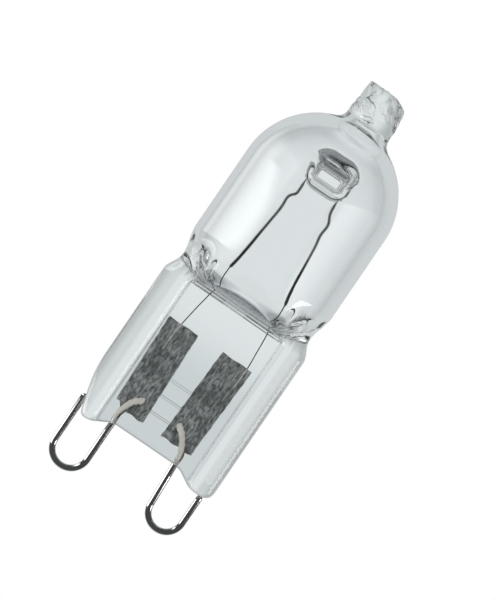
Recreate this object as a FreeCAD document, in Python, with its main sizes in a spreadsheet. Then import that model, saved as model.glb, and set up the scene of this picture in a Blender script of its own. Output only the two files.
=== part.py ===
"""Halogen capsule bulb with a flat pinch base and two wire loop contacts.

The bulb stands on its base: +Z runs along its axis to the exhaust tip, X runs across the width of
the pinch and Y through its thickness. The origin is the middle of the pinch's lower edge, where the
contact loops leave the glass. Lengths are millimetres and angles degrees.
"""
import FreeCAD, Part

import math
import os
import re

import Sketcher

SIZES = (
    # Bulb: heights are measured from the lower edge of the pinch
    ("bulb_diameter", 13.2),
    ("bulb_wall", 1.0),
    ("dome_height", 24.2),
    # Exhaust tip, flared at its neck and sealed off at a slant
    ("tip_diameter", 4.2),
    ("tip_height", 34.45),
    ("tip_slant_drop", 0.8),
    ("tip_neck_diameter", 5.0),
    ("tip_neck_rise", 0.5),
    ("exhaust_bore", 0.9),
    ("exhaust_height", 30.7),
    # Shoulder, where the round bulb turns in on a blunt shelf to the flat pinch
    ("shelf_drop", 0.2),
    ("shelf_radius", 3.8),
    ("shelf_fillet", 0.5),
    ("cheek_lap", 0.1),
    ("waist_height", 14.3),
    ("waist_inset", 0.5),
    ("waist_radius", 5.0),
    # Chamber, narrowing to a floor over the seal
    ("chamber_floor_wall", 0.55),
    ("chamber_floor_width", 8.8),
    ("chamber_floor_radius", 3.2),
    ("chamber_side_rise", 2.6),
    # Pinch seal with thick beads along its two sides and a foot under each bead
    ("pinch_width", 13.6),
    ("pinch_height", 13.6),
    ("pinch_lap", 0.9),
    ("pinch_corner_rounding", 1.1),
    ("web_thickness", 3.0),
    ("bead_thickness", 3.8),
    ("bead_flank", 0.25),
    ("bead_rounding", 0.2),
    ("foot_drop", 1.0),
    ("foot_gap", 6.4),
    ("foot_slope_run", 1.75),
    ("foot_corner", 0.75),
    ("foot_rounding", 1.0),
    ("side_taper_height", 2.6),
    ("ridge_spacing", 1.5),
    ("ridge_height", 2.5),
    ("ridge_length", 3.2),
    ("ridge_radius", 0.3),
    ("ridge_stand", 0.06),
    # Dimples pressed in from the front and the back until they fuse into a post
    ("post_shift", 0.18),
    ("post_height", 25.8),
    ("post_width", 2.9),
    ("post_thickness", 2.1),
    ("post_corner", 0.5),
    ("post_slope", 2.2),
    ("dimple_floor_width", 2.0),
    ("dimple_floor_thickness", 1.0),
    ("dimple_floor_corner", 0.25),
    ("dimple_slope", 2.0),
    ("dimple_web", 1.3),
    # Foils sealed in the pinch
    ("foil_shift", -0.27),
    ("foil_width", 2.85),
    ("foil_length", 8.3),
    ("foil_thickness", 0.03),
    ("foil_foot_height", 1.3),
    ("foil_spread", 4.9),
    ("foil_lean", 1.9),
    ("weld_plane", 0.03),
    # Wire loop contacts, their inner ends pressed flat where they are welded to the foils
    ("loop_shift", -0.15),
    ("loop_spacing", 9.0),
    ("loop_leg_spacing", 3.08),
    ("loop_wire", 0.54),
    ("loop_length", 5.4),
    ("loop_end_height", 0.45),
    ("loop_end_gap", 0.1),
    ("loop_side_gap", 0.06),
    ("weld_width", 0.56),
    ("weld_thickness", 0.24),
    ("weld_foot_height", 0.7),
    ("weld_lap", 0.25),
    ("weld_elbow_height", 2.1),
    ("weld_elbow_reach", 0.4),
    ("weld_end_height", 2.8),
    ("weld_end_reach", 1.1),
    # Filament: two coiled legs hung over the post, with straight tails down to the foils
    ("tail_wire", 0.09),
    ("tail_end_height", 7.4),
    ("tail_end_spread", 6.45),
    ("coil_diameter", 0.26),
    ("coil_foot_height", 15.5),
    ("coil_foot_spread", 5.2),
    ("coil_head_height", 22.7),
    ("coil_head_spread", 3.95),
    ("hanger_wire", 0.12),
    ("hanger_gap", 0.02),
    ("hanger_corner", 0.35),
)
doc = FreeCAD.newDocument("HalogenCapsuleBulb")
sheet = doc.addObject("Spreadsheet::Sheet", "Sizes")
for row, (name, number) in enumerate(SIZES, start=1):
    sheet.set(f"A{row}", name)
    sheet.set(f"B{row}", str(number))
    sheet.setAlias(f"B{row}", name)
doc.recompute()
SIZE_NAMES = {name for name, number in SIZES}
# Places that several pieces share, as expressions over the sizes
LOOP_OUTER = "((loop_spacing + loop_leg_spacing) / 2)"
LOOP_INNER = "((loop_spacing - loop_leg_spacing) / 2)"
BULB_END = "(pinch_height - pinch_lap)"
SHELF = "(pinch_height - shelf_drop)"
FOIL_MIDDLE = "(foil_foot_height + foil_length / 2)"
FOIL_REACH = "(cos(foil_lean * 1deg) * foil_length / 2 + sin(foil_lean * 1deg) * foil_width / 2)"


def cell(found):
    """The sheet's cell for a word that names a size, or the word itself."""
    word = found[0]
    return f"Sizes.{word}" if word in SIZE_NAMES else word


def bound(expression):
    """Points every size name in an expression at its cell in the sheet."""
    return re.sub(r"[a-z_]+", cell, expression)


def amount(expression):
    """The present value of an expression over the sizes."""
    return float(doc.Sizes.evalExpression(bound(expression)))


def bind(thing, **expressions):
    """Ties properties to sizes. A double underscore in a name stands for a dot."""
    for name, expression in expressions.items():
        thing.setExpression(name.replace("__", "."), bound(expression))


def new_body(label):
    """An empty body of its own."""
    body = doc.addObject("PartDesign::Body", label)
    body.Label = label
    return body


def new_sketch(body, name, plane, offset="0"):
    """A sketch on one of the body's origin planes, moved along the plane's normal."""
    support = next(item for item in body.Origin.OriginFeatures if item.Role == plane)
    sketch = body.newObject("Sketcher::SketchObject", name)
    sketch.AttachmentSupport = [(support, "")]
    sketch.MapMode = "FlatFace"
    bind(sketch, AttachmentOffset__Base__z=offset)
    doc.recompute()
    return sketch


def hold(sketch, geometry, point, x=None, y=None):
    """Holds a point of a sketch at bound distances from the sketch's origin."""
    for kind, expression in (("DistanceX", x), ("DistanceY", y)):
        if expression is not None:
            constraint = Sketcher.Constraint(kind, -1, 1, geometry, point, amount(expression))
            index = sketch.addConstraint(constraint)
            sketch.setExpression(f"Constraints[{index}]", bound(expression))


class Outline:
    """A chain of lines and arcs in a sketch whose corners are held by expressions."""

    def __init__(self, sketch, x, y):
        self.sketch = sketch
        self.start = self.corner = (x, y)
        self.first = self.last = None

    def join(self, geometry, begin, end, x, y):
        """Joins a new edge to the chain and holds its far corner."""
        if self.last is None:
            hold(self.sketch, geometry, begin, *self.corner)
            self.first = (geometry, begin)
        else:
            self.sketch.addConstraint(Sketcher.Constraint("Coincident", *self.last, geometry, begin))
        if self.first != (geometry, begin) and (x, y) == self.start:
            self.sketch.addConstraint(Sketcher.Constraint("Coincident", geometry, end, *self.first))
        else:
            hold(self.sketch, geometry, end, x, y)
        self.last = (geometry, end)
        self.corner = (x, y)

    def line(self, x, y):
        """A straight edge to the next corner."""
        begin = FreeCAD.Vector(amount(self.corner[0]), amount(self.corner[1]))
        end = FreeCAD.Vector(amount(x), amount(y))
        self.join(self.sketch.addGeometry(Part.LineSegment(begin, end)), 1, 2, x, y)
        return self

    def arc(self, x, y, centre_x, centre_y, clockwise=False):
        """A circular edge to the next corner, about a given centre."""
        centre = FreeCAD.Vector(amount(centre_x), amount(centre_y))
        begin = FreeCAD.Vector(amount(self.corner[0]), amount(self.corner[1])) - centre
        end = FreeCAD.Vector(amount(x), amount(y)) - centre
        chord = end - begin
        angles = [math.atan2(spoke.y, spoke.x) for spoke in (begin, end)]
        if clockwise:
            angles.reverse()
        circle = Part.Circle(centre, FreeCAD.Vector(0, 0, 1), begin.Length)
        geometry = self.sketch.addGeometry(Part.ArcOfCircle(circle, *angles))
        points = (2, 1) if clockwise else (1, 2)
        self.join(geometry, *points, x, y)
        if abs(chord.x) > abs(chord.y):
            hold(self.sketch, geometry, 3, y=centre_y)
        else:
            hold(self.sketch, geometry, 3, x=centre_x)
        return self

    def close(self):
        """The last straight edge, back to the first corner."""
        return self.line(*self.start)


def cornered_rectangle(sketch, half_width, half_height, middle, corner):
    """A rectangle with its corners cut off, about a point on the sketch's vertical axis."""
    left, right = f"-({half_width})", f"({half_width})"
    low, high = f"({middle}) - ({half_height})", f"({middle}) + ({half_height})"
    inner_left, inner_right = f"{left} + {corner}", f"{right} - {corner}"
    inner_low, inner_high = f"{low} + {corner}", f"{high} - {corner}"
    outline = Outline(sketch, inner_left, low).line(inner_right, low).line(right, inner_low)
    outline.line(right, inner_high).line(inner_right, high).line(inner_left, high)
    outline.line(left, inner_high).line(left, inner_low).close()


def circle(sketch, radius, x, y):
    """A circle about a held middle."""
    middle = FreeCAD.Vector(amount(x), amount(y), 0)
    geometry = sketch.addGeometry(Part.Circle(middle, FreeCAD.Vector(0, 0, 1), amount(radius)))
    hold(sketch, geometry, 3, x, y)
    index = sketch.addConstraint(Sketcher.Constraint("Radius", geometry, amount(radius)))
    sketch.setExpression(f"Constraints[{index}]", bound(radius))


def revolve(body, name, sketch):
    """Turns a half profile round the body's Z axis."""
    feature = body.newObject("PartDesign::Revolution", name)
    feature.Profile = sketch
    feature.ReferenceAxis = (sketch, ["V_Axis"])
    feature.Angle = 360
    doc.recompute()
    return feature


def pad(body, name, sketch, length, slope="0"):
    """Raises a sketch to a bound height, its sides leaning outward by the slope."""
    feature = body.newObject("PartDesign::Pad", name)
    feature.Profile = sketch
    bind(feature, Length=length, TaperAngle=slope)
    doc.recompute()
    return feature


def cut_through(body, name, sketch):
    """Cuts a sketch through the body both ways."""
    before = body.Shape.Volume
    feature = body.newObject("PartDesign::Pocket", name)
    feature.Profile = sketch
    feature.SideType = "Symmetric"
    feature.Type = "ThroughAll"
    doc.recompute()
    assert body.Shape.Volume < before, f"{name} cuts nothing"
    return feature


def fillet(body, name, radius, wanted):
    """Rounds those edges of the body's last feature that the test picks out."""
    base = body.Tip
    edges = [f"Edge{index}" for index, edge in enumerate(base.Shape.Edges, start=1) if wanted(edge)]
    assert edges, f"{name} finds no edge"
    feature = body.newObject("PartDesign::Fillet", name)
    feature.Base = (base, edges)
    bind(feature, Radius=radius)
    doc.recompute()
    return feature


def upright_at(edge, spots):
    """Whether an edge is vertical and stands at one of the given (x, y) spots."""
    box = edge.BoundBox
    slim = max(box.XLength, box.YLength) < 0.01
    return slim and any(math.hypot(box.Center.x - x, box.Center.y - y) < 0.01 for x, y in spots)


def shelf_cut(body):
    """Presses the front and back of the bulb in: down a round shoulder, along a shelf and into the pinch's face."""
    web, top = "web_thickness / 2", f"({SHELF} + shelf_radius)"
    depth = "(bulb_diameter / 2 + cheek_lap)"
    fillet_middle, arc_middle = f"{web} + shelf_fillet", f"{depth} - shelf_radius"
    clear = f"{depth} + shelf_radius"
    sketch = new_sketch(body, "shelf_profile", "YZ_Plane")
    for sign in ("", "-"):
        front = sign == ""
        outline = Outline(sketch, f"{sign}({web})", BULB_END)
        outline.line(f"{sign}({web})", f"{SHELF} - shelf_fillet")
        outline.arc(f"{sign}({fillet_middle})", SHELF, f"{sign}({fillet_middle})", f"{SHELF} - shelf_fillet",
                    clockwise=front)
        outline.line(f"{sign}({arc_middle})", SHELF)
        outline.arc(f"{sign}({depth})", top, f"{sign}({arc_middle})", top, clockwise=not front)
        outline.line(f"{sign}({clear})", top).line(f"{sign}({clear})", BULB_END).close()
    cut_through(body, "shelf", sketch)


def pinch_section(sketch):
    """The pinch seen along the axis: a flat web between two round beads."""
    side, face, web = "pinch_width / 2", "bead_thickness / 2", "web_thickness / 2"
    brow = f"{side} - {face}"
    flank = f"{brow} - bead_flank"
    outline = Outline(sketch, f"-({flank})", f"-{web}").line(flank, f"-{web}").line(brow, f"-{face}")
    outline.arc(brow, face, brow, "0").line(flank, web).line(f"-({flank})", web).line(f"-({brow})", face)
    outline.arc(f"-({brow})", f"-{face}", f"-({brow})", "0").close()


def pinch_trim(sketch):
    """What is cut from the pinch, seen from the front: below its feet and round its upper corners."""
    side, top, clear = "pinch_width / 2", "pinch_height", "2 * foot_drop"
    leg_side = f"{LOOP_OUTER} - loop_shift - loop_wire / 2 - loop_side_gap"
    outline = Outline(sketch, f"-{side} - {clear}", "side_taper_height").line(f"-{side}", "side_taper_height")
    outline.line(f"-({leg_side})", "loop_end_height + loop_side_gap")
    outline.line(f"-({leg_side})", "foot_corner - foot_drop")
    outline.line(f"foot_corner - ({leg_side})", "-foot_drop")
    outline.line("-foot_gap / 2", "0").line("foot_gap / 2", "0")
    outline.line("foot_gap / 2 + foot_slope_run", "-foot_drop").line(f"{side} - foot_rounding", "-foot_drop")
    outline.arc(side, "foot_rounding - foot_drop", f"{side} - foot_rounding", "foot_rounding - foot_drop")
    outline.line(f"{side} + {clear}", "foot_rounding - foot_drop")
    outline.line(f"{side} + {clear}", f"-foot_drop - {clear}")
    outline.line(f"-{side} - {clear}", f"-foot_drop - {clear}").close()
    for sign in ("", "-"):
        inner = f"{sign}({side} - pinch_corner_rounding)"
        low = f"{top} - pinch_corner_rounding"
        outline = Outline(sketch, f"{sign}{side}", low)
        outline.arc(inner, top, inner, low, clockwise=sign == "-")
        outline.line(f"{sign}({side})", f"{top}").close()


def pinch_form():
    """The solid glass of the pinch, with its beads, its feet and its rounded upper corners."""
    body = new_body("pinch_form")
    sketch = new_sketch(body, "pinch_plan", "XY_Plane", "-foot_drop")
    pinch_section(sketch)
    pad(body, "pinch", sketch, "pinch_height + foot_drop")
    brow, face = amount("pinch_width / 2 - bead_thickness / 2"), amount("bead_thickness / 2")
    flank, web = amount("pinch_width / 2 - bead_thickness / 2 - bead_flank"), amount("web_thickness / 2")
    spots = [(x * across, y * through) for x, y in ((brow, face), (flank, web))
             for across in (-1, 1) for through in (-1, 1)]
    fillet(body, "bead_edges", "bead_rounding", lambda edge: upright_at(edge, spots))
    sketch = new_sketch(body, "pinch_front", "XZ_Plane")
    pinch_trim(sketch)
    cut_through(body, "pinch_feet", sketch)
    return body


def bulb_form():
    """The outside of the bulb: tube, dome and exhaust tip, pressed in at the foot to meet the pinch."""
    body = new_body("bulb_form")
    radius, tip_radius = "(bulb_diameter / 2)", "(tip_diameter / 2)"
    neck_radius = "(tip_neck_diameter / 2)"
    neck = f"dome_height + sqrt({radius}^2 - {neck_radius}^2)"
    uncut_top = "tip_height + tip_slant_drop"
    sketch = new_sketch(body, "bulb_profile", "XZ_Plane")
    outline = Outline(sketch, "0", BULB_END).line(radius, BULB_END).line(radius, "dome_height")
    outline.arc(neck_radius, neck, "0", "dome_height").line(tip_radius, f"{neck} + tip_neck_rise")
    outline.line(tip_radius, uncut_top).line("0", uncut_top).close()
    revolve(body, "bulb", sketch)
    shelf_cut(body)
    sketch = new_sketch(body, "waist_profile", "XZ_Plane")
    for sign in ("", "-"):
        circle(sketch, "waist_radius", f"{sign}({radius} - waist_inset + waist_radius)", "waist_height")
    cut_through(body, "waist", sketch)
    sketch = new_sketch(body, "tip_profile", "XZ_Plane")
    outline = Outline(sketch, "-tip_diameter", "tip_height + tip_slant_drop / 2")
    outline.line("tip_diameter", "tip_height - 1.5 * tip_slant_drop")
    outline.line("tip_diameter", "tip_height + 2 * tip_slant_drop")
    outline.line("-tip_diameter", "tip_height + 2 * tip_slant_drop").close()
    cut_through(body, "tip_slant", sketch)
    return body


def chamber_form():
    """The space inside the bulb, from its rounded floor over the seal up into the exhaust bore."""
    body = new_body("chamber_form")
    radius, bore = "(bulb_diameter / 2 - bulb_wall)", "(exhaust_bore / 2)"
    depth, floor = f"({radius} + cheek_lap)", f"({SHELF} + chamber_floor_wall)"
    sketch = new_sketch(body, "chamber_profile", "XZ_Plane")
    outline = Outline(sketch, "0", floor).line(radius, floor).line(radius, "dome_height")
    outline.arc(bore, f"dome_height + sqrt({radius}^2 - {bore}^2)", "0", "dome_height")
    outline.line(bore, "exhaust_height").line("0", "exhaust_height").close()
    revolve(body, "chamber", sketch)
    sketch = new_sketch(body, "chamber_edges", "YZ_Plane")
    for sign in ("", "-"):
        middle, top = f"{sign}({depth} - chamber_floor_radius)", f"({floor} + chamber_floor_radius)"
        outline = Outline(sketch, middle, floor)
        outline.arc(f"{sign}{depth}", top, middle, top, clockwise=sign == "-")
        outline.line(f"{sign}{depth}", floor).close()
    cut_through(body, "chamber_rounding", sketch)
    sketch = new_sketch(body, "chamber_sides", "XZ_Plane")
    for sign in ("", "-"):
        outline = Outline(sketch, f"{sign}chamber_floor_width / 2", floor)
        outline.line(f"{sign}{depth}", f"{floor} + chamber_side_rise").line(f"{sign}{depth}", floor).close()
    cut_through(body, "chamber_narrowing", sketch)
    return body


def pressed_form(name, width, thickness, corner, foot, slope):
    """A form that widens from its foot out through the front of the bulb, and its mirror image behind."""
    body = new_body(f"front_{name}")
    sketch = new_sketch(body, f"{name}_foot", "XZ_Plane", foot)
    cornered_rectangle(sketch, f"{width} / 2", f"{thickness} / 2", "post_height", corner)
    pad(body, f"{name}_taper", sketch, f"bulb_diameter / 2 - {foot}", slope)
    bind(body, Placement__Base__x="post_shift")
    back = doc.addObject("Part::Mirroring", f"back_{name}")
    back.Source = body
    back.Normal = FreeCAD.Vector(0, 1, 0)
    return boolean("MultiFuse", name, Shapes=[body, back])


def seal_ridges():
    """Three shallow ridges across the back of the pinch, between the foils."""
    ridges = []
    for index in range(3):
        ridge = doc.addObject("Part::Cylinder", f"ridge_{index}")
        ridge.Placement.Rotation = FreeCAD.Rotation(FreeCAD.Vector(0, 1, 0), 90)
        bind(ridge, Radius="ridge_radius", Height="ridge_length", Placement__Base__x="-ridge_length / 2",
             Placement__Base__y="web_thickness / 2 + ridge_stand - ridge_radius",
             Placement__Base__z=f"ridge_height + {index} * ridge_spacing")
        ridges.append(ridge)
    return ridges


def foil(side, sign):
    """A molybdenum foil sealed flat in the pinch, its head leaning outward."""
    body = new_body(f"molybdenum_foil_{side}")
    sketch = new_sketch(body, f"foil_outline_{side}", "XZ_Plane")
    width, length = "foil_width / 2", "foil_length / 2"
    outline = Outline(sketch, f"-{width}", f"-{length}").line(width, f"-{length}").line(width, length)
    outline.line(f"-{width}", length).close()
    pad(body, f"foil_sheet_{side}", sketch, "foil_thickness")
    body.Placement.Rotation = FreeCAD.Rotation(FreeCAD.Vector(0, 1, 0), sign)
    bind(body, Placement__Base__x=f"foil_shift + {sign} * foil_spread / 2", Placement__Base__z=FOIL_MIDDLE,
         Placement__Base__y="weld_plane + foil_thickness", Placement__Rotation__Angle="foil_lean")
    doc.recompute()
    return body


def contact_loop(side, sign, end_height):
    """A wire bent into a loop under the pinch, its inner end pressed flat and welded to the foil."""
    body = new_body(f"contact_loop_{side}")
    outer, inner = f"loop_shift + {sign} * {LOOP_OUTER}", f"loop_shift + {sign} * {LOOP_INNER}"
    bend = "loop_leg_spacing / 2 + loop_wire / 2 - loop_length"
    path = new_sketch(body, f"loop_path_{side}", "XZ_Plane")
    outline = Outline(path, outer, end_height).line(outer, bend)
    outline.arc(inner, bend, f"loop_shift + {sign} * loop_spacing / 2", bend, clockwise=sign > 0)
    outline.line(inner, "weld_foot_height + weld_lap")
    wire = new_sketch(body, f"loop_wire_{side}", "XY_Plane", end_height)
    circle(wire, "loop_wire / 2", outer, "0")
    sweep = body.newObject("PartDesign::AdditivePipe", f"loop_sweep_{side}")
    sweep.Profile = wire
    sweep.Spine = (path, [f"Edge{index}" for index in range(1, 4)])
    doc.recompute()
    flat = new_sketch(body, f"weld_outline_{side}", "XZ_Plane", "-weld_plane")
    elbow, end = f"{inner} - {sign} * weld_elbow_reach", f"{inner} - {sign} * weld_end_reach"
    near, far = f"{sign} * weld_width / 2", f"{sign} * weld_width / 3"
    outline = Outline(flat, f"{inner} + {near}", "weld_foot_height")
    outline.line(f"{elbow} + {near}", "weld_elbow_height")
    outline.line(f"{end} + {far}", "weld_end_height + weld_width / 3")
    outline.line(f"{end} - {far}", "weld_end_height - weld_width / 3")
    outline.line(f"{elbow} - {near}", "weld_elbow_height - weld_width / 3")
    outline.line(f"{inner} - {near}", "weld_foot_height").close()
    pad(body, f"weld_{side}", flat, "weld_thickness")
    return body


def mitred_wire(points, diameter):
    """A round wire of straight runs with mitred corners."""
    right_corner = 1
    section = Part.Wire(Part.makeCircle(diameter / 2, points[0], points[1] - points[0]))
    return Part.makePolygon(points).makePipeShell([section], True, False, right_corner)


def filament():
    """One tungsten wire: a tail on each foil, a coiled leg above it, and a hanger over the post."""
    size = {name: amount(name) for name in SIZE_NAMES}
    middle = size["post_shift"]
    hanger_clear = size["hanger_wire"] / 2 + size["hanger_gap"]
    hanger_side = size["post_width"] / 2 + hanger_clear
    hanger_top = size["post_height"] + size["post_thickness"] / 2 + hanger_clear
    rise = size["coil_head_height"] + size["coil_head_spread"] / 2 - hanger_side
    corner = size["hanger_corner"]
    pieces = []
    hanger = []
    for sign in (-1, 1):
        end = FreeCAD.Vector(sign * size["tail_end_spread"] / 2, 0, size["tail_end_height"])
        foot = FreeCAD.Vector(middle + sign * size["coil_foot_spread"] / 2, 0, size["coil_foot_height"])
        head = FreeCAD.Vector(middle + sign * size["coil_head_spread"] / 2, 0, size["coil_head_height"])
        for diameter, low, high in ((size["tail_wire"], end, foot), (size["coil_diameter"], foot, head)):
            run = high - low
            pieces.append(Part.makeCylinder(diameter / 2, run.Length, low, run))
        side = middle + sign * hanger_side
        half = [head, FreeCAD.Vector(side, 0, rise), FreeCAD.Vector(side, 0, hanger_top - corner),
                FreeCAD.Vector(side - sign * corner, 0, hanger_top)]
        hanger.extend(half if sign < 0 else reversed(half))
    pieces.append(mitred_wire(hanger, size["hanger_wire"]))
    wire = pieces[0].multiFuse(pieces[1:]).removeSplitter()
    pressed = Part.makeBox(size["pinch_width"], size["tail_wire"], amount(f"{FOIL_MIDDLE} + {FOIL_REACH}"),
                           FreeCAD.Vector(-size["pinch_width"] / 2, size["weld_plane"], 0))
    feature = doc.addObject("Part::Feature", "tungsten_filament")
    feature.Label = "tungsten_filament"
    feature.Shape = wire.cut(pressed)
    feature.Placement = FreeCAD.Placement()
    return feature


def boolean(kind, name, **parts):
    """A fuse or a cut of finished forms."""
    feature = doc.addObject(f"Part::{kind}", name)
    for role, value in parts.items():
        setattr(feature, role, value)
    feature.Refine = True
    doc.recompute()
    return feature


def quartz_envelope(inner_pieces):
    """The glass itself: the outside form less its dimples, its chamber and what is sealed into it."""
    post = pressed_form("post", "post_width", "post_thickness", "post_corner", "0", "post_slope")
    dimples = pressed_form("dimple", "dimple_floor_width", "dimple_floor_thickness", "dimple_floor_corner",
                           "dimple_web / 2", "dimple_slope")
    blank = boolean("MultiFuse", "envelope_blank", Shapes=[bulb_form(), pinch_form(), *seal_ridges()])
    dimpled = boolean("Cut", "dimpled_blank", Base=blank, Tool=dimples)
    chamber = boolean("Cut", "bridged_chamber", Base=chamber_form(), Tool=post)
    glass = boolean("Cut", "hollow_blank", Base=dimpled, Tool=chamber)
    for piece in inner_pieces:
        glass = boolean("Cut", f"glass_round_{piece.Label}", Base=glass, Tool=piece)
    glass.Label = "quartz_envelope"
    return glass


def check_and_export(nodes):
    """Stops on any failed object or broken shape, then writes one file for each piece."""
    doc.recompute()
    failed = [item.Name for item in doc.Objects if {"Invalid", "Error"} & set(item.State)]
    assert not failed, f"failed objects: {failed}"
    os.makedirs("parts", exist_ok=True)
    for node in nodes:
        assert not node.Shape.isNull() and node.Shape.isValid(), f"{node.Label} has no sound shape"
        node.Shape.exportStep(f"parts/{node.Label}.step")
        print(f"{node.Label}: {node.Shape.Volume:.4f} cubic mm in {len(node.Shape.Solids)} solid")


foils = [foil("left", -1), foil("right", 1)]
loops = [contact_loop("left", -1, "loop_end_height"), contact_loop("right", 1, "-foot_drop - loop_end_gap")]
wire = filament()
glass = quartz_envelope([*foils, *loops, wire])
check_and_export([glass, wire, *foils, *loops])
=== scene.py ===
"""Looks of a halogen capsule bulb: clear quartz, coiled filament, sealed foils and polished wire loops.

Sizes are in millimetres in the part's own frame, with +Z along the bulb's axis and the front towards -Y,
and they are turned into metres when a mesh is made.
"""
import logging
import math
from dataclasses import dataclass
from enum import Enum
from typing import Callable, Sequence

import bpy
import numpy as np
from mathutils import Matrix


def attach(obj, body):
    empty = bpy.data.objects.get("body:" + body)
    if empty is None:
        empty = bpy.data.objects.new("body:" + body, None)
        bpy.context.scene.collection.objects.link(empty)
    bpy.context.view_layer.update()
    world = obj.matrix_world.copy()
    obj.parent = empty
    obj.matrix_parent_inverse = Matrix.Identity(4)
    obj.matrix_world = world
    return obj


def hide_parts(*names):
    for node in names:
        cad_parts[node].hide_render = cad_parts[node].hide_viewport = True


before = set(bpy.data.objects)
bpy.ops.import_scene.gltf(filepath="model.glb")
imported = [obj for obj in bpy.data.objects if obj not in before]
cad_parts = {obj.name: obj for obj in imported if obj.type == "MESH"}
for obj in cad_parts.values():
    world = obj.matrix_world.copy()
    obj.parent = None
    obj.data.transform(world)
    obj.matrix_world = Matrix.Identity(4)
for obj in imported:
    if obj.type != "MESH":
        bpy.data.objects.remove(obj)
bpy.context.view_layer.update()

MM = 0.001
Array = np.ndarray
Field = Callable[[Array, Array, Array], Array]
Colour = tuple[float, float, float]
Span = tuple[float, float]
Corners = tuple[Span, ...]
Socket = bpy.types.NodeSocket
log = logging.getLogger("capsule_bulb")


class Side(Enum):
    """The two halves of the bulb as the front shows them."""

    LEFT = -1
    RIGHT = 1

    @property
    def word(self) -> str:
        """The side's name as piece names use it."""
        return self.name.lower()


def smooth_min(first: Array, second: Array, reach: float) -> Array:
    """Joins two distance fields with a fillet.

    Args:
        first: distances to one form.
        second: distances to the other form.
        reach: how far apart the two may be, in mm, for the fillet to act.

    Returns:
        The distances to the joined form.
    """
    blend = np.clip(0.5 + 0.5 * (second - first) / reach, 0.0, 1.0)
    return second + (first - second) * blend - reach * blend * (1.0 - blend)


def smooth_max(first: Array, second: Array, reach: float) -> Array:
    """Cuts one distance field by another with a rounded edge.

    Args:
        first: distances to one form.
        second: distances to the form that limits it.
        reach: how far apart the two may be, in mm, for the rounding to act.

    Returns:
        The distances to what the two forms share.
    """
    return -smooth_min(-first, -second, reach)


def smooth_step(values: Array, low: float, high: float) -> Array:
    """A smooth rise from 0 to 1.

    Args:
        values: what drives it.
        low: where it leaves 0.
        high: where it reaches 1.

    Returns:
        Shares from 0 to 1.
    """
    share = np.clip((values - low) / (high - low), 0.0, 1.0)
    return share * share * (3.0 - 2.0 * share)


def corner_distance(across: Array, along: Array) -> Array:
    """Distances to a quarter plane, rounded outside its corner.

    Args:
        across: distances past its one edge.
        along: distances past its other edge.

    Returns:
        The distances.
    """
    outward = np.hypot(np.maximum(across, 0), np.maximum(along, 0))
    return outward + np.minimum(np.maximum(across, along), 0)


def graded(stops: Sequence[Span], start: float) -> Array:
    """Places along an axis whose spacing changes from stretch to stretch.

    Args:
        stops: the end of each stretch and the spacing in it.
        start: where the first stretch begins.

    Returns:
        The rising places.
    """
    places = [np.array([start])]
    for end, spacing in stops:
        low = places[-1][-1]
        steps = max(1, round((end - low) / spacing))
        places.append(np.linspace(low, end, steps + 1)[1:])
    return np.concatenate(places)


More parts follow.
